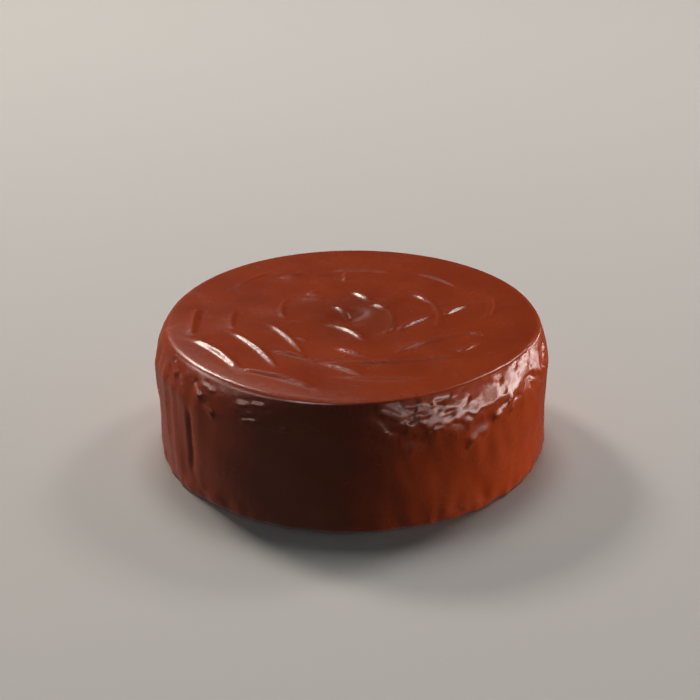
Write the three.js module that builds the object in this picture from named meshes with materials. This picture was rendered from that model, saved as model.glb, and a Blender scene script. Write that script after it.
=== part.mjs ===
// A round chocolate cake, uncut and coated all over in chocolate ganache.
// The top is worked with a spatula into a rosette: petals round a bud, each of which rises to a crest
// and ends there in a steep face. Most of them face outwards.
// Millimetres, +Z up, origin at the centre of the base, front of the cake towards -Y.
// Angles are seen from above, anticlockwise from +X, in degrees.

import * as THREE from 'three';
import { mergeVertices } from 'three/addons/utils/BufferGeometryUtils.js';

const { clamp, degToRad, lerp, smoothstep } = THREE.MathUtils;

// Body of the cake. The crease is the edge between the top and the curved shoulder,
// and it wanders in and out of its circle along the front.
const cakeRadius = 100;
const rimHeight = 67.5;
const creaseRadius = 95;
const creaseWander = 1.7;
const shoulderDrop = 17;
const shoulderCurve = 1.6;
const footRounding = 2;

// Rosette on the top: sets of petals, with the height of their crest. Each petal has the radius and angle
// of its middle, its turn, which is how far it points outwards of its circle, its length and its bow,
// which is how far its middle bulges towards the side that it faces.
// A petal that is turned by about half a circle faces inwards.
const petalSets = [
  // Round the bud
  {
    crest: 1.3,
    petals: [
      [9, 120, -89, 15, -1], [18, 260, 37, 28, -2], [18, 340, -16, 34, 4], [20, 40, 173, 11, 0],
      [28, 78, 219, 16, 0], [34, 347, 35, 28, -1],
    ],
  },
  // Between the bud and the rim
  {
    crest: 1.2,
    petals: [
      [42, 219, 14, 44, -2], [43, 271, 38, 20, 0.5], [44, 32, 177, 16, 0], [51, 317, 15, 40, -3.5],
      [54, 7, 51, 20, -1], [54, 93, -87, 12, 0], [54, 236, -9, 20, -1], [54, 278, 7, 46, 1.5],
      [62, 219, 10, 54, -3], [63, 267, 36, 24, -1],
    ],
  },
  // Along the left of the rim
  {
    crest: 1.5,
    petals: [[79, 213, -1, 46, -2.5], [79, 243, 3, 44, -2], [80, 183, 184, 34, 0]],
  },
  // Fainter ones between the others
  {
    crest: 0.9,
    petals: [
      [31, 129, 40, 14, 0], [36, 160, 165, 25, -2], [37, 227, -26, 9, 0], [38, 122, -14, 8, 0],
      [40, 10, 1, 44, 5], [60, 182, 183, 24, -1], [63, 305, 20, 30, 0], [66, 120, 3, 14, -1.5],
      [66, 339, -77, 8, 1.5], [69, 326, 10, 15, 0], [71, 9, 17, 30, 2], [73, 284, 18, 44, 1.5],
    ],
  },
  // Faintest ones at the back
  {
    crest: 0.6,
    petals: [[62, 84, 180, 36, -2], [67, 46, 180, 30, -2], [73, 134, 180, 34, -2]],
  },
];
const petalRamp = 18;
const petalRampShare = 0.6;
const petalRampReach = 1.4;
const petalCrestFade = 0.65;
const petalFin = 3;
const petalFace = 4;
const petalMerge = 0.2;

// Hollow in the bud, the rounding of the rim, which is wider on the left, and the fall of the top
// towards the rim there
const hollowDepth = 3;
const hollowRadius = 9;
const rimRounding = 2.5;
const rimFall = 0.6;
const leftRimRounding = 6;
const leftRimFall = 1.5;
const leftFall = 1.2;
const leftFallAngle = 205;
const leftFallEdge = 74;

// Coated side: slow waves all round
const waves = [
  { height: 0.3, turns: 3, rise: 0.05, phase: 0.4 },
  { height: 0.2, turns: 7, rise: -0.09, phase: 1.3 },
  { height: 0.2, turns: 13, rise: 0.14, phase: 2.6 },
];

// Broad dabs of the spatula on the right of the front shoulder, each a flat patch that leans back:
// its angle and height, its half length and half width, its slant, which is how steeply it rises
// to the right, and its lean
const dabs = [
  [-23, 61, 7.5, 5, 50, 27],
  [-38.5, 61.5, 8, 4.5, 40, 21],
  [-50.5, 58.5, 10, 4.2, 10, 19],
  [-53.5, 43, 9, 4, 20, 14],
  [-68, 55.7, 6, 2.8, 15, 16],
];
const dabStand = 0.1;
const dabFeather = 0.5;
const dabEdge = 0.2;

// How fast the relief of the side dies out on the top, inwards of the crease
const rimHold = 8;

// Faces: columns round the cake, and rows on each stretch of its profile
const columns = 96;
const footRows = 2;
const sideRows = 4;
const shoulderRows = 6;
const topRows = 46;

// One petal of a set: its middle, its direction and the side that its steep face is on
function makePetal(crest, [radius, angle, turn, length, bow]) {
  const around = degToRad(angle);
  const heading = around + Math.PI / 2 - degToRad(turn);
  return {
    x: radius * Math.cos(around),
    y: radius * Math.sin(around),
    forward: new THREE.Vector2(Math.cos(heading), Math.sin(heading)),
    facing: new THREE.Vector2(Math.sin(heading), -Math.cos(heading)),
    halfLength: length / 2,
    bow,
    crest,
  };
}

const petals = petalSets.flatMap((set) => set.petals.map((sizes) => makePetal(set.crest, sizes)));

// Height of a petal at (x, y): a thin fin along its crest, and a broad ramp up to it
function petalHeight(petal, x, y) {
  const dx = x - petal.x;
  const dy = y - petal.y;
  const reach = (dx * petal.forward.x + dy * petal.forward.y) / petal.halfLength;
  const bowed = petal.bow * (1 - reach * reach);
  const across = dx * petal.facing.x + dy * petal.facing.y - bowed;
  const fin = 1 - smoothstep(Math.abs(reach), petalCrestFade, 1);
  const ramp = 1 - smoothstep(Math.abs(reach), 0, petalRampReach);
  if (across > 0) {
    return petal.crest * lerp(fin, ramp, petalRampShare) * (1 - smoothstep(across, 0, petalFace));
  }
  const finInside = fin * Math.exp(-((across / petalFin) ** 2));
  const rampInside = ramp * 2 * smoothstep(across, -petalRamp, petalRamp);
  return petal.crest * lerp(finInside, rampInside, petalRampShare);
}

// From 0 at a radius to 1 at the crease, ever more steeply
function towardsRim(radius, start, power) {
  return clamp((radius - start) / (creaseRadius - start), 0, 1) ** power;
}

// Relief of the top over the level of the rim: the petals, merged softly where they overlap
function topRelief(x, y) {
  const radius = Math.hypot(x, y);
  const merged = petals.reduce((sum, petal) => sum + Math.expm1(petalHeight(petal, x, y) / petalMerge), 0);
  const rosette = petalMerge * Math.log1p(merged);
  const hollow = hollowDepth * Math.exp(-((radius / hollowRadius) ** 2));
  const left = clamp(Math.cos(Math.atan2(y, x) - degToRad(leftFallAngle)), 0, 1) ** 2;
  const fall = leftFall * left * towardsRim(radius, leftFallEdge, 3);
  const rounding = rimFall * towardsRim(radius, creaseRadius - rimRounding, 2);
  const leftRounding = leftRimFall * left * towardsRim(radius, creaseRadius - leftRimRounding, 2);
  return rosette - hollow - fall - rounding - leftRounding;
}

// How far the crease swings out of its circle along the front of the cake
function creaseSwing(angle) {
  const front = smoothstep(-Math.sin(angle), -0.2, 0.2);
  return creaseWander * front * Math.cos(4 * angle);
}

// Radius of the plain cake at a height, in at the shoulder
function sideRadius(z) {
  const rise = clamp((z - rimHeight + shoulderDrop) / shoulderDrop, 0, 1);
  return cakeRadius - (cakeRadius - creaseRadius) * rise ** shoulderCurve;
}

// Swell of the side in its slow waves, outwards positive
function sideWaves(angle, z) {
  return waves.reduce(
    (swell, wave) => swell + wave.height * Math.sin(wave.turns * angle + wave.rise * z + wave.phase),
    0,
  );
}

// Swell of the side once a dab of the spatula has left its flat patch there
function pressDab(swell, dab, angle, z) {
  const [dabAngle, height, halfLength, halfWidth, slantAngle, lean] = dab;
  const turnedBy = angle - degToRad(dabAngle);
  const slant = degToRad(slantAngle);
  const aside = Math.atan2(Math.sin(turnedBy), Math.cos(turnedBy)) * cakeRadius;
  const above = z - height;
  const along = Math.abs(aside * Math.cos(slant) + above * Math.sin(slant)) / halfLength;
  const across = Math.abs(above * Math.cos(slant) - aside * Math.sin(slant)) / halfWidth;
  const lengthwise = 1 - smoothstep(along, 1 - dabFeather, 1 + dabEdge);
  const patch = lengthwise * (1 - smoothstep(across, 1 - dabEdge, 1 + dabEdge));
  const bend = (aside * aside) / (2 * cakeRadius);
  const flat = sideRadius(height) + dabStand - Math.tan(degToRad(lean)) * above + bend;
  return lerp(swell, flat - sideRadius(z), patch);
}

// Half outline of the plain cake, from the middle of the base, out, up the side and in to the middle
function cakeProfile() {
  const points = [new THREE.Vector2(0, 0)];
  for (let row = 0; row <= footRows; row++) {
    const turn = (row / footRows) * (Math.PI / 2);
    const inset = footRounding * (1 - Math.sin(turn));
    points.push(new THREE.Vector2(cakeRadius - inset, footRounding * (1 - Math.cos(turn))));
  }
  for (let row = 1; row <= sideRows; row++) {
    const z = lerp(footRounding, rimHeight - shoulderDrop, row / sideRows);
    points.push(new THREE.Vector2(cakeRadius, z));
  }
  for (let row = 1; row <= shoulderRows; row++) {
    const z = rimHeight - shoulderDrop * (1 - row / shoulderRows);
    points.push(new THREE.Vector2(sideRadius(z), z));
  }
  for (let row = 1; row <= topRows; row++) {
    points.push(new THREE.Vector2(creaseRadius * (1 - row / topRows), rimHeight));
  }
  return points;
}

// Where the ganache lies for a point of the plain cake: the rosette dies out down the shoulder,
// and the side's relief comes in there
function workGanache(point) {
  const radius = Math.hypot(point.x, point.y);
  const angle = Math.atan2(point.y, point.x);
  const down = clamp((rimHeight - point.z) / shoulderDrop, 0, 1);
  const topRadius = Math.min(radius, creaseRadius);
  const lift = topRelief(topRadius * Math.cos(angle), topRadius * Math.sin(angle)) * (1 - down);
  const waved = sideWaves(angle, point.z) * smoothstep(down, 0, 1);
  const dabbed = dabs.reduce((swell, dab) => pressDab(swell, dab, angle, point.z), waved);
  const swing = creaseSwing(angle) * (1 - down) ** shoulderCurve;
  const spread = 1 + ((dabbed + swing) * (topRadius / creaseRadius) ** rimHold) / cakeRadius;
  point.set(point.x * spread, point.y * spread, point.z + lift);
}

function makeCakeGeometry() {
  let geometry = new THREE.LatheGeometry(cakeProfile(), columns);
  geometry.rotateX(Math.PI / 2);
  geometry.deleteAttribute('normal');
  geometry.deleteAttribute('uv');
  geometry = mergeVertices(geometry, 1e-3);
  const positions = geometry.attributes.position;
  const point = new THREE.Vector3();
  for (let index = 0; index < positions.count; index++) {
    point.fromBufferAttribute(positions, index);
    workGanache(point);
    positions.setXYZ(index, point.x, point.y, point.z);
  }
  geometry.computeVertexNormals();
  return geometry;
}

const ganache = new THREE.MeshStandardMaterial({ color: 0x7c301b, roughness: 0.3, metalness: 0 });

const cakeMesh = new THREE.Mesh(makeCakeGeometry(), ganache);
cakeMesh.name = 'cake';

const cake = new THREE.Group();
cake.add(cakeMesh);

export default cake;
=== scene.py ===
"""Looks of a round chocolate cake: glossy ganache, worked with a spatula into a rosette on top.

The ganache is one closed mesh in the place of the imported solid, with the same form and finer relief.
Its relief is worked out in millimetres, and the scene is in metres. Angles are seen from above,
anticlockwise from +X. The front of the cake is towards -Y.
"""

import math

import bpy
import numpy as np
from mathutils import Matrix, Vector, noise


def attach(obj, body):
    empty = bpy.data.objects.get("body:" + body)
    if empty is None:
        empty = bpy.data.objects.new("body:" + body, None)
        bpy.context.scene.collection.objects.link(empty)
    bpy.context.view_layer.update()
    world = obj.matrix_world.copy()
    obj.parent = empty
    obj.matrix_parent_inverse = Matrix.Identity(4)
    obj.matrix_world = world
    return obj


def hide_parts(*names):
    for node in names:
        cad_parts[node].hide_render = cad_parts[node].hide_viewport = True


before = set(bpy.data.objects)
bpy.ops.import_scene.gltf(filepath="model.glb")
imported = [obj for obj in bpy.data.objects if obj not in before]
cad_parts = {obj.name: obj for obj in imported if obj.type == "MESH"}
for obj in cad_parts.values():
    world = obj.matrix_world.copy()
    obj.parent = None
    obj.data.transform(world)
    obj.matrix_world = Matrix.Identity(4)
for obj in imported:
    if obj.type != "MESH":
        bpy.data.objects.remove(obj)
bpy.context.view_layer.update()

MM = 0.001
NOISE_SEED = 3

# Body of the cake. The crease is the edge between the top and the curved shoulder. It wanders in and out
# of its circle along the front: its swings are counted for a whole turn, and the blend is how softly
# they die out towards the back.
CAKE_RADIUS = 100
RIM_HEIGHT = 67.5
CREASE_RADIUS = 95
CREASE_WANDER = 1.7
CREASE_SWINGS = 4
CREASE_FRONT_BLEND = 0.2
SHOULDER_DROP = 17
SHOULDER_CURVE = 1.6
FOOT_ROUNDING = 2

# Rosette on the top: sets of petals, with the height of their crest and the widths of its fin and of its
# steep face. Each petal has the radius and angle of its middle, its turn, which is how far it points
# outwards of its circle, its length and its bow, which is how far its middle bulges towards the side that
# it faces. A petal that is turned by about half a circle faces inwards.
PETAL_SETS = [
    # Round the bud
    dict(crest=1.3, fin=1.3, face=3, petals=[
        (9, 120, -89, 15, -1), (18, 260, 37, 28, -2), (18, 340, -16, 34, 4), (20, 40, 173, 11, 0),
        (28, 78, 219, 16, 0), (34, 347, 35, 28, -1),
    ]),
    # Between the bud and the rim
    dict(crest=1.2, fin=1.3, face=2.8, petals=[
        (42, 219, 14, 44, -2), (43, 271, 38, 20, 0.5), (44, 32, 177, 16, 0), (51, 317, 15, 40, -3.5),
        (54, 7, 51, 20, -1), (54, 93, -87, 12, 0), (54, 236, -9, 20, -1), (54, 278, 7, 46, 1.5),
        (62, 219, 10, 54, -3), (63, 267, 36, 24, -1),
    ]),
    # Along the left of the rim
    dict(crest=1.5, fin=1.6, face=3.6, petals=[
        (79, 213, -1, 46, -2.5), (79, 243, 3, 44, -2), (80, 183, 184, 34, 0),
    ]),
    # Fainter ones between the others
    dict(crest=0.9, fin=1.5, face=3, petals=[
        (31, 129, 40, 14, 0), (36, 160, 165, 25, -2), (37, 227, -26, 9, 0), (38, 122, -14, 8, 0),
        (40, 10, 1, 44, 5), (60, 182, 183, 24, -1), (63, 305, 20, 30, 0), (66, 120, 3, 14, -1.5),
        (66, 339, -77, 8, 1.5), (69, 326, 10, 15, 0), (71, 9, 17, 30, 2), (73, 284, 18, 44, 1.5),
    ]),
    # Faintest ones at the back
    dict(crest=0.6, fin=1.5, face=3, petals=[
        (62, 84, 180, 36, -2), (67, 46, 180, 30, -2), (73, 134, 180, 34, -2),
    ]),
]

# What all petals share: the width of the ramp up to the crest, its share of the height and its reach past
# the crest's ends, where the crest starts to fade, and how softly petals merge
PETAL_RAMP = 18
PETAL_RAMP_SHARE = 0.6
PETAL_RAMP_REACH = 1.4
PETAL_CREST_FADE = 0.65
PETAL_MERGE = 0.2

# Hollow in the bud, the rounding of the rim, which is wider on the left, the fall of the top towards the
# rim there, and the powers by which the fall and the roundings set in
HOLLOW_DEPTH = 3
HOLLOW_RADIUS = 9
RIM_ROUNDING = 2.5
RIM_FALL = 0.6
LEFT_RIM_ROUNDING = 4.5
LEFT_RIM_FALL = 1.2
LEFT_FALL = 1.2
LEFT_FALL_ANGLE = 205
LEFT_FALL_EDGE = 74
LEFT_FALL_CURVE = 3
RIM_CURVE = 2

# Coated side: slow waves all round
WAVES = [
    dict(height=0.3, turns=3, rise=0.05, phase=0.4),
    dict(height=0.2, turns=7, rise=-0.09, phase=1.3),
    dict(height=0.2, turns=13, rise=0.14, phase=2.6),
]

# Dabs of the spatula on the shoulder, each a flat patch that leans back: its angle and height, its half
# length and half width, its slant, which is how steeply it rises to the right, and its lean
DABS = [
    (-23, 61, 7.5, 5, 50, 27),
    (-38.5, 61.5, 8, 4.5, 40, 21),
    (-39, 49.5, 5, 2.5, 20, 21),
    (-45, 49.5, 6, 2.6, 15, 20),
    (-50.5, 58.5, 10, 4.2, 10, 19),
    (-53.5, 43, 9, 4, 20, 14),
    (-56.5, 52.5, 3.5, 1.6, -40, 17),
    (-60, 55.5, 4, 1.8, 35, 17),
    (-61, 60.5, 7.5, 1.8, 8, 17),
    (-68, 55.7, 6, 2.8, 15, 16),
    (-69, 62, 6.5, 1.6, -40, 16),
    (-80, 61.7, 7.5, 1.8, -25, 16),
    (-111, 53.5, 7, 1.3, 0, 30),
    (-117, 63.5, 4, 1.3, 0, 37),
    (-119, 55, 5, 1.4, 10, 32),
    (-122, 62.5, 4, 1.6, 5, 37),
    (-133.5, 53.2, 5, 1.5, -20, 28),
    (-135, 64, 5, 1.5, -10, 38),
    (-139.5, 60.5, 5.5, 1.5, -35, 34),
    (-153, 63.5, 5.5, 1.7, -30, 34),
]

# How far a dab stands out, how softly its ends and its sides fade, and how ragged and rough it is, with the
# grain of both
DAB_STAND = 0.1
DAB_FEATHER = 0.5
DAB_EDGE = 0.2
DAB_RAGGED = 0.4
DAB_ROUGH = 0.15
DAB_GRAIN = 5

# Finer relief of the side: stretches round a middle angle, between two heights, with their depth, grain
# and slant. A worked stretch is made of flat dabs of the knife, and the others of soft waves.
# A reach of 400 goes all round, and heights of -20 and 90 lie beyond the foot and the rim.
SMEARS = [
    dict(middle=0, reach=400, heights=(-20, 90), depth=0.35, grain=(24, 9), slant=0, worked=False),
    dict(middle=0, reach=400, heights=(-20, 4), depth=0.9, grain=(8, 7), slant=0, worked=False),
    dict(middle=-46, reach=36, heights=(44, 90), depth=2.2, grain=(9, 5), slant=20, worked=True),
    dict(middle=-132, reach=34, heights=(52, 90), depth=0.5, grain=(9, 4), slant=-15, worked=True),
    dict(middle=-160, reach=24, heights=(-20, 90), depth=0.8, grain=(7, 70), slant=0, worked=False),
    dict(middle=-30, reach=50, heights=(-20, 50), depth=0.5, grain=(8, 14), slant=10, worked=False),
    dict(middle=90, reach=70, heights=(46, 90), depth=0.9, grain=(11, 5), slant=15, worked=True),
    dict(middle=95, reach=62, heights=(-20, 90), depth=0.4, grain=(9, 60), slant=0, worked=False),
    dict(middle=-146, reach=26, heights=(-20, 9), depth=0.8, grain=(6, 5), slant=0, worked=False),
    dict(middle=-42, reach=30, heights=(-20, 8), depth=0.7, grain=(6, 5), slant=0, worked=False),
]

# How softly a stretch fades out, in degrees aside, in millimetres up and down and as a share of the shoulder
# below the crease, and the steps that give each stretch its own noise and each of its dabs its own tilt
SMEAR_FADE = 9
SMEAR_RISE = 5
SMEAR_CREASE_FADE = 0.3
SMEAR_NOISE_STEP = 7.3
SMEAR_TILT_STEP = 7

# Upright groove of the knife on the left of the side: its angle, the heights that it runs between, half of
# its width and its depth
GROOVE_ANGLE = -142
GROOVE_HEIGHTS = (15, 46)
GROOVE_HALF_WIDTH = 1.8
GROOVE_DEPTH = 1.1

# How fast the relief of the side dies out on the top, inwards of the crease
RIM_HOLD = 8

# Ganache: its dark and light clouds, its patchy gloss and its fine grain
CLOUDS = dict(Scale=30, Detail=5, Roughness=0.6)
CLOUD_RANGE = (0.3, 0.7)
DARK_CLOUD = (0.2, 0.0238, 0.0041, 1)
LIGHT_CLOUD = (0.264, 0.0336, 0.0056, 1)
GLOSS = dict(Scale=70, Detail=4, Roughness=0.6)
GLOSS_RANGE = (0.3, 0.7)
GANACHE_ROUGHNESS = (0.2, 0.3)
GANACHE_SPECULAR = 0.42
GRAIN = dict(Scale=260, Detail=5, Roughness=0.55)
GRAIN_BUMP = dict(Strength=0.25, Distance=0.0006)

# Painted shade round the bud, which darkens the colour there as the shade of its deep hollow: the share of
# the colour that is left, and the radii between which it fades out
BUD_PAINTED_SHADE = 0.78
BUD_PAINTED_SHADE_RADII = (10, 46)

# Mesh: columns round the cake, halved each time that the radius halves on the top, and rows
COLUMNS = 720
FEWEST_COLUMNS = 45
TOP_ROWS = 128
SHOULDER_ROWS = 20
SIDE_ROWS = 26
FOOT_ROWS = 3

# Camera, fitted to the cake's outlines: its aim, distance, elevation, roll and lens
AIM = Vector((-0.0008, 0, 0.0489))
CAMERA_DISTANCE = 0.801
CAMERA_ELEVATION = math.radians(24.9)
CAMERA_ROLL = math.radians(-0.57)
CAMERA_LENS_MM = 79.9
SENSOR_WIDTH_MM = 36

FLOOR_SIZE = 12
FLOOR_COLOUR = (0.45, 0.44, 0.43, 1)
FLOOR_ROUGHNESS = 0.8

# Studio round the cake: its colour, the direction in which it is palest, and its strength away from there
# and towards it
STUDIO_COLOUR = (0.75, 1, 1, 1)
PALE_SIDE = (-0.8, 0, -0.6)
PALE_RANGE = (-0.25, 0.75)
STUDIO_STRENGTH = (0.03, 0.15)

# Studio lights round the cake: fill lights give no gloss, and gloss lights only show in the ganache's sheen
LIGHT_DISTANCE = 2.5
WHITE = (1, 0.95, 0.91)
WARM = (1, 0.9, 0.8)
STUDIO_LIGHTS = [
    dict(name="key", azimuth=128, elevation=42, size=(0.45, 0.45), power=29, colour=WARM),
    dict(name="back", azimuth=45, elevation=42, size=(0.5, 0.5), power=15),
]
FILL_LIGHTS = [
    dict(name="top_back", azimuth=90, elevation=66, size=(1, 1), power=32),
    dict(name="low_right", azimuth=9, elevation=-0.3, size=(1.4, 0.05), power=100),
    dict(name="low_left", azimuth=145, elevation=-0.3, size=(1.6, 0.05), power=88),
    dict(name="low_front", azimuth=-90, elevation=-0.3, size=(1.4, 0.05), power=2.2),
]
GLOSS_LIGHTS = [
    dict(name="strip_right_back", azimuth=33, elevation=4, size=(1.2, 0.3), power=14),
    dict(name="strip_right", azimuth=5, elevation=4, size=(1.2, 0.3), power=22),
    dict(name="strip_front_right", azimuth=-25, elevation=4, size=(1.2, 0.3), power=20),
    dict(name="strip_front", azimuth=-55, elevation=4, size=(1.2, 0.3), power=8),
    dict(name="strip_left", azimuth=165, elevation=30, size=(0.8, 0.4), power=9),
    dict(name="strip_left_front", azimuth=195, elevation=35, size=(0.8, 0.4), power=7),
    dict(name="strip_front_left", azimuth=226, elevation=52, size=(0.6, 1.2), power=20),
    dict(name="left_sheen", azimuth=112, elevation=34, size=(0.8, 0.8), power=0.6),
    dict(name="front_sheen", azimuth=99, elevation=38, size=(0.6, 0.3), power=1),
]


def smoothstep(value, low, high):
    share = np.clip((value - low) / (high - low), 0, 1)
    return share * share * (3 - 2 * share)


def lerp(start, end, share):
    return start + (end - start) * share


def turn_from(middle, angle):
    """Turn from a middle angle in degrees to angles in radians, the short way round, in radians."""
    turn = angle - math.radians(middle)
    return np.arctan2(np.sin(turn), np.cos(turn))


def between_heights(z, heights):
    """1 between two heights and 0 beyond them, with a soft change at each."""
    lowest, highest = heights
    return (smoothstep(z, lowest - SMEAR_RISE, lowest + SMEAR_RISE)
            * (1 - smoothstep(z, highest - SMEAR_RISE, highest + SMEAR_RISE)))


# Rosette


def make_petal(petal_set, radius, angle, turn, length, bow):
    """One petal of a set: its middle, its direction and the side that its steep face is on."""
    around = math.radians(angle)
    heading = around + math.pi / 2 - math.radians(turn)
    return dict(
        middle=(radius * math.cos(around), radius * math.sin(around)),
        forward=(math.cos(heading), math.sin(heading)),
        facing=(math.sin(heading), -math.cos(heading)),
        half_length=length / 2,
        bow=bow,
        crest=petal_set["crest"],
        fin=petal_set["fin"],
        face=petal_set["face"],
    )


def make_petals():
    """All the petals of the rosette."""
    return [make_petal(petal_set, *sizes) for petal_set in PETAL_SETS for sizes in petal_set["petals"]]


def petal_height(petal, x, y):
    """Height of a petal, which rises to a thin crest and ends there in a steep face."""
    dx = x - petal["middle"][0]
    dy = y - petal["middle"][1]
    reach = (dx * petal["forward"][0] + dy * petal["forward"][1]) / petal["half_length"]
    across = dx * petal["facing"][0] + dy * petal["facing"][1] - petal["bow"] * (1 - reach * reach)
    fin = 1 - smoothstep(np.abs(reach), PETAL_CREST_FADE, 1)
    ramp = 1 - smoothstep(np.abs(reach), 0, PETAL_RAMP_REACH)
    fin_inside = fin * np.exp(-((across / petal["fin"]) ** 2))
    ramp_inside = ramp * smoothstep(across, -PETAL_RAMP, PETAL_RAMP) * 2
    inside = lerp(fin_inside, ramp_inside, PETAL_RAMP_SHARE)
    outside = lerp(fin, ramp, PETAL_RAMP_SHARE) * (1 - smoothstep(across, 0, petal["face"]))
    return petal["crest"] * np.where(across < 0, inside, outside)


def towards_rim(radius, start, power):
    """From 0 at a radius to 1 at the crease, ever more steeply."""
    return np.clip((radius - start) / (CREASE_RADIUS - start), 0, 1) ** power


def top_relief(x, y):
    """Relief of the top over the level of the rim: the petals, merged softly where they overlap."""
    radius = np.hypot(x, y)
    merged = np.zeros_like(x)
    for petal in make_petals():
        merged += np.expm1(petal_height(petal, x, y) / PETAL_MERGE)
    rosette = PETAL_MERGE * np.log1p(merged)
    hollow = HOLLOW_DEPTH * np.exp(-((radius / HOLLOW_RADIUS) ** 2))
    left = np.clip(np.cos(np.arctan2(y, x) - math.radians(LEFT_FALL_ANGLE)), 0, 1) ** 2
    fall = LEFT_FALL * left * towards_rim(radius, LEFT_FALL_EDGE, LEFT_FALL_CURVE)
    rounding = RIM_FALL * towards_rim(radius, CREASE_RADIUS - RIM_ROUNDING, RIM_CURVE)
    left_rounding = LEFT_RIM_FALL * left * towards_rim(radius, CREASE_RADIUS - LEFT_RIM_ROUNDING, RIM_CURVE)
    return rosette - hollow - fall - (rounding + left_rounding)


# Coated side


def side_radius(z):
    """Radius of the plain cake at a height, in at the shoulder."""
    rise = np.clip((z - RIM_HEIGHT + SHOULDER_DROP) / SHOULDER_DROP, 0, 1)
    return CAKE_RADIUS - (CAKE_RADIUS - CREASE_RADIUS) * rise**SHOULDER_CURVE


def side_waves(angle, z):
    """Swell of the side in its slow waves, outwards positive."""
    swell = np.zeros_like(angle)
    for wave in WAVES:
        swell += wave["height"] * np.sin(wave["turns"] * angle + wave["rise"] * z + wave["phase"])
    return swell


def press_dabs(swell, points, angle, z):
    """The swell of the side once each dab of the spatula has left its rough flat patch there."""
    uneven_aside, uneven_above, bumps = np.array(
        [noise.noise_vector(Vector(point) / DAB_GRAIN) for point in points]).T
    for dab_angle, height, half_length, half_width, slant, lean in DABS:
        aside = turn_from(dab_angle, angle) * CAKE_RADIUS
        above = z - height
        ragged_aside = aside + DAB_RAGGED * half_width * uneven_aside
        ragged_above = above + DAB_RAGGED * half_width * uneven_above
        cos_slant = math.cos(math.radians(slant))
        sin_slant = math.sin(math.radians(slant))
        along = np.abs(ragged_aside * cos_slant + ragged_above * sin_slant) / half_length
        across = np.abs(ragged_above * cos_slant - ragged_aside * sin_slant) / half_width
        patch = ((1 - smoothstep(along, 1 - DAB_FEATHER, 1 + DAB_EDGE))
                 * (1 - smoothstep(across, 1 - DAB_EDGE, 1 + DAB_EDGE)))
        flat = (side_radius(height) + DAB_STAND - math.tan(math.radians(lean)) * above
                + aside * aside / (2 * CAKE_RADIUS) + DAB_ROUGH * bumps)
        swell = lerp(swell, flat - side_radius(z), patch)
    return swell


def crease_wander(angle):
    """How far the crease swings out of its circle along the front of the cake."""
    front = smoothstep(-np.sin(angle), -CREASE_FRONT_BLEND, CREASE_FRONT_BLEND)
    return CREASE_WANDER * front * np.cos(CREASE_SWINGS * angle)


def knife_dab(place):
    """Height of a surface of flat dabs, each tilted its own way."""
    nearest = noise.voronoi(place)[1][0]
    return (place - nearest).dot(noise.noise_vector(nearest * SMEAR_TILT_STEP))


def smear(index, angle, z):
    """Finer relief of one stretch of the side, fading out at its edges."""
    stretch = SMEARS[index]
    away = np.degrees(np.abs(turn_from(stretch["middle"], angle)))
    inside = ((1 - smoothstep(away, stretch["reach"] - SMEAR_FADE, stretch["reach"] + SMEAR_FADE))
              * between_heights(z, stretch["heights"]))
    grain_along, grain_up = stretch["grain"]
    slanted = angle + math.tan(math.radians(stretch["slant"])) * z / CAKE_RADIUS
    places = np.column_stack((np.cos(slanted) * CAKE_RADIUS / grain_along,
                              np.sin(slanted) * CAKE_RADIUS / grain_along,
                              z / grain_up + SMEAR_NOISE_STEP * index))
    height = knife_dab if stretch["worked"] else noise.noise
    return stretch["depth"] * inside * np.array([height(Vector(place)) for place in places])


def knife_groove(angle, z):
    """Depth of the upright groove, which fades out at both ends."""
    aside = turn_from(GROOVE_ANGLE, angle) * CAKE_RADIUS
    run = between_heights(z, GROOVE_HEIGHTS)
    return GROOVE_DEPTH * run * np.exp(-((aside / GROOVE_HALF_WIDTH) ** 2))


def work_ganache(points):
    """Where the ganache lies for points of the plain cake, in millimetres.

    The rosette dies out down the shoulder, and the side's relief comes in there."""
    x, y, z = points.T
    radius = np.hypot(x, y)
    angle = np.arctan2(y, x)
    down = np.clip((RIM_HEIGHT - z) / SHOULDER_DROP, 0, 1)
    top_radius = np.minimum(radius, CREASE_RADIUS)
    lift = top_relief(top_radius * np.cos(angle), top_radius * np.sin(angle)) * (1 - down)
    swell = side_waves(angle, z) * smoothstep(down, 0, 1)
    for index in range(len(SMEARS)):
        swell += smear(index, angle, z) * smoothstep(down, 0, SMEAR_CREASE_FADE)
    swell -= knife_groove(angle, z)
    swell = press_dabs(swell, points, angle, z)
    swell += crease_wander(angle) * (1 - down) ** SHOULDER_CURVE
    swell *= (top_radius / CREASE_RADIUS) ** RIM_HOLD
    spread = 1 + swell / CAKE_RADIUS
    return np.column_stack((x * spread, y * spread, z + lift))


# Mesh of the cake


def cake_rings():
    """Radius, height and columns of each ring of points, from the edge of the base, up and in."""
    rings = []
    for row in range(FOOT_ROWS + 1):
        turn = row / FOOT_ROWS * math.pi / 2
        inset = FOOT_ROUNDING * (1 - math.sin(turn))
        rings.append((CAKE_RADIUS - inset, FOOT_ROUNDING * (1 - math.cos(turn)), COLUMNS))
    for row in range(1, SIDE_ROWS + 1):
        z = lerp(FOOT_ROUNDING, RIM_HEIGHT - SHOULDER_DROP, row / SIDE_ROWS)
        rings.append((CAKE_RADIUS, z, COLUMNS))
    for row in range(1, SHOULDER_ROWS + 1):
        z = RIM_HEIGHT - SHOULDER_DROP * (1 - row / SHOULDER_ROWS)
        rings.append((side_radius(z), z, COLUMNS))
    for row in range(1, TOP_ROWS):
        radius = CREASE_RADIUS * (1 - row / TOP_ROWS)
        halvings = int(math.log2(CREASE_RADIUS / radius))
        rings.append((radius, RIM_HEIGHT, max(COLUMNS >> halvings, FEWEST_COLUMNS)))
    return rings


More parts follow.
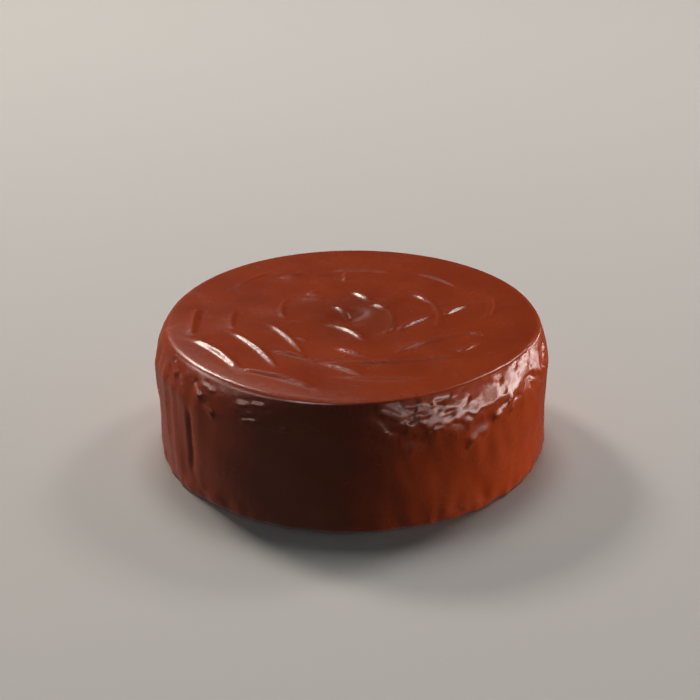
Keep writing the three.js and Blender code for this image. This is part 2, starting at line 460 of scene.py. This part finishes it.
def band_faces(first, second):
    """Faces between two neighbouring rings, of which the second may have half the points."""
    first_next = np.roll(first, -1)
    second_next = np.roll(second, -1)
    if len(first) == len(second):
        return np.stack((first, first_next, second_next, second), axis=-1).tolist()
    even, odd, even_next = first[::2], first[1::2], np.roll(first[::2], -1)
    return (np.stack((even, odd, second), axis=-1).tolist()
            + np.stack((odd, second_next, second), axis=-1).tolist()
            + np.stack((odd, even_next, second_next), axis=-1).tolist())


def cake_mesh():
    """The closed mesh of the cake: rings of points, with a fan of faces to each middle."""
    points = [np.zeros((1, 3))]
    faces = []
    count = 1
    below = None
    for radius, z, columns in cake_rings():
        angles = 2 * np.pi * np.arange(columns) / columns
        ring = count + np.arange(columns)
        points.append(np.column_stack((radius * np.cos(angles), radius * np.sin(angles),
                                       np.full(columns, z))))
        count += columns
        if below is None:
            faces += np.stack((np.zeros_like(ring), np.roll(ring, -1), ring), axis=-1).tolist()
        else:
            faces += band_faces(below, ring)
        below = ring
    points.append(np.array([[0, 0, RIM_HEIGHT]]))
    faces += np.stack((below, np.roll(below, -1), np.full_like(below, count)), axis=-1).tolist()

    mesh = bpy.data.meshes.new("ganache")
    mesh.from_pydata((work_ganache(np.concatenate(points)) * MM).tolist(), [], faces)
    mesh.shade_smooth()
    return mesh


# Materials


def add_node(tree, kind, **settings):
    """A new node, with its inputs and properties set by name."""
    made = tree.nodes.new(kind)
    for name, value in settings.items():
        if name in made.inputs:
            made.inputs[name].default_value = value
        else:
            setattr(made, name, value)
    return made


def add_map_range(tree, value, value_range, result_range, **settings):
    """A new node that takes a range of a value to a range of results. Gives its result."""
    made = add_node(tree, "ShaderNodeMapRange", **settings)
    for name, limit in zip(("From Min", "From Max", "To Min", "To Max"), (*value_range, *result_range)):
        made.inputs[name].default_value = limit
    tree.links.new(value, made.inputs["Value"])
    return made.outputs["Result"]


def add_noise(tree, place, settings):
    """A new noise over a place. Gives its value."""
    made = add_node(tree, "ShaderNodeTexNoise", **settings)
    tree.links.new(place, made.inputs["Vector"])
    return made.outputs["Fac"]


def new_material(name):
    """A new material, and its shader."""
    material = bpy.data.materials.new(name)
    material.use_nodes = True
    return material, material.node_tree.nodes["Principled BSDF"]


def add_painted_bud_shade(tree, place):
    """Share of the colour at a place, darker round the axis of the cake: painted shade of the bud's hollow.
    """
    level_place = add_node(tree, "ShaderNodeVectorMath", operation="MULTIPLY")
    level_place.inputs[1].default_value = (1, 1, 0)
    from_axis = add_node(tree, "ShaderNodeVectorMath", operation="LENGTH")
    tree.links.new(place, level_place.inputs[0])
    tree.links.new(level_place.outputs["Vector"], from_axis.inputs[0])
    radii = [radius * MM for radius in BUD_PAINTED_SHADE_RADII]
    return add_map_range(tree, from_axis.outputs["Value"], radii, (BUD_PAINTED_SHADE, 1),
                         interpolation_type="SMOOTHSTEP")


def ganache_material():
    """Glossy chocolate, with painted shade round the bud, lighter clouds, a patchy gloss and a fine grain."""
    material, shader = new_material("ganache")
    tree = material.node_tree
    place = add_node(tree, "ShaderNodeTexCoord").outputs["Object"]

    colours = add_node(tree, "ShaderNodeValToRGB")
    for element, position, colour in zip(colours.color_ramp.elements, CLOUD_RANGE, (DARK_CLOUD, LIGHT_CLOUD)):
        element.position = position
        element.color = colour
    # Colour of the clouds, darkened round the bud by painted shade
    colour_with_painted_shade = add_node(tree, "ShaderNodeVectorMath", operation="SCALE")
    tree.links.new(add_noise(tree, place, CLOUDS), colours.inputs["Fac"])
    tree.links.new(colours.outputs["Color"], colour_with_painted_shade.inputs[0])
    tree.links.new(add_painted_bud_shade(tree, place), colour_with_painted_shade.inputs["Scale"])
    tree.links.new(colour_with_painted_shade.outputs["Vector"], shader.inputs["Base Color"])

    roughness = add_map_range(tree, add_noise(tree, place, GLOSS), GLOSS_RANGE, GANACHE_ROUGHNESS)
    tree.links.new(roughness, shader.inputs["Roughness"])
    shader.inputs["Specular IOR Level"].default_value = GANACHE_SPECULAR

    bump = add_node(tree, "ShaderNodeBump", **GRAIN_BUMP)
    tree.links.new(add_noise(tree, place, GRAIN), bump.inputs["Height"])
    tree.links.new(bump.outputs["Normal"], shader.inputs["Normal"])
    return material


def floor_material():
    material, shader = new_material("floor")
    shader.inputs["Base Color"].default_value = FLOOR_COLOUR
    shader.inputs["Roughness"].default_value = FLOOR_ROUGHNESS
    return material


# Objects


def make_cake():
    """The ganache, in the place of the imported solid."""
    cake = bpy.data.objects.new("cake_ganache", cake_mesh())
    bpy.context.scene.collection.objects.link(cake)
    cake.data.materials.append(ganache_material())
    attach(cake, "root")
    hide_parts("cake")


def make_floor():
    """Plain floor that neither mirrors in the ganache nor throws light on it."""
    bpy.ops.mesh.primitive_plane_add(size=FLOOR_SIZE)
    floor = bpy.context.object
    floor.name = "floor"
    floor.data.materials.append(floor_material())
    floor.visible_glossy = False
    floor.visible_diffuse = False


def make_area_light(name, azimuth, elevation, size, power, colour=WHITE):
    """A soft light that faces the cake from an azimuth and elevation, in degrees."""
    around = math.radians(azimuth)
    above = math.radians(elevation)
    outward = Vector((math.cos(around) * math.cos(above),
                      math.sin(around) * math.cos(above),
                      math.sin(above)))
    data = bpy.data.lights.new(name, "AREA")
    data.shape = "RECTANGLE"
    data.size, data.size_y = size
    data.energy = power
    data.color = colour
    light = bpy.data.objects.new(name, data)
    light.location = AIM + LIGHT_DISTANCE * outward
    light.rotation_mode = "QUATERNION"
    light.rotation_quaternion = outward.to_track_quat("Z", "Y")
    bpy.context.scene.collection.objects.link(light)
    return light


def make_camera():
    """Camera at the photograph's viewing angle, with its slight roll."""
    ahead = Vector((0, math.cos(CAMERA_ELEVATION), -math.sin(CAMERA_ELEVATION)))
    level_right = Vector((1, 0, 0))
    level_up = level_right.cross(ahead)
    right = level_right * math.cos(CAMERA_ROLL) + level_up * math.sin(CAMERA_ROLL)
    up = level_up * math.cos(CAMERA_ROLL) - level_right * math.sin(CAMERA_ROLL)
    data = bpy.data.cameras.new("camera")
    data.sensor_width = SENSOR_WIDTH_MM
    data.lens = CAMERA_LENS_MM
    camera = bpy.data.objects.new("camera", data)
    turn = Matrix((right, up, -ahead)).transposed().to_4x4()
    camera.matrix_world = Matrix.Translation(AIM - CAMERA_DISTANCE * ahead) @ turn
    bpy.context.scene.collection.objects.link(camera)
    bpy.context.scene.camera = camera


def make_world():
    """Dim studio light from all round, palest low on the left."""
    world = bpy.data.worlds.new("studio")
    world.use_nodes = True
    tree = world.node_tree
    background = tree.nodes["Background"]
    background.inputs["Color"].default_value = STUDIO_COLOUR
    direction = add_node(tree, "ShaderNodeTexCoord").outputs["Generated"]
    towards_pale = add_node(tree, "ShaderNodeVectorMath", operation="DOT_PRODUCT")
    towards_pale.inputs[1].default_value = PALE_SIDE
    tree.links.new(direction, towards_pale.inputs[0])
    strength = add_map_range(tree, towards_pale.outputs["Value"], PALE_RANGE, STUDIO_STRENGTH)
    tree.links.new(strength, background.inputs["Strength"])
    bpy.context.scene.world = world
    bpy.context.scene.view_settings.view_transform = "Standard"


noise.seed_set(NOISE_SEED)
make_camera()
make_cake()
make_floor()
for settings in STUDIO_LIGHTS:
    make_area_light(**settings)
for settings in FILL_LIGHTS:
    make_area_light(**settings).visible_glossy = False
for settings in GLOSS_LIGHTS:
    make_area_light(**settings).visible_diffuse = False
make_world()
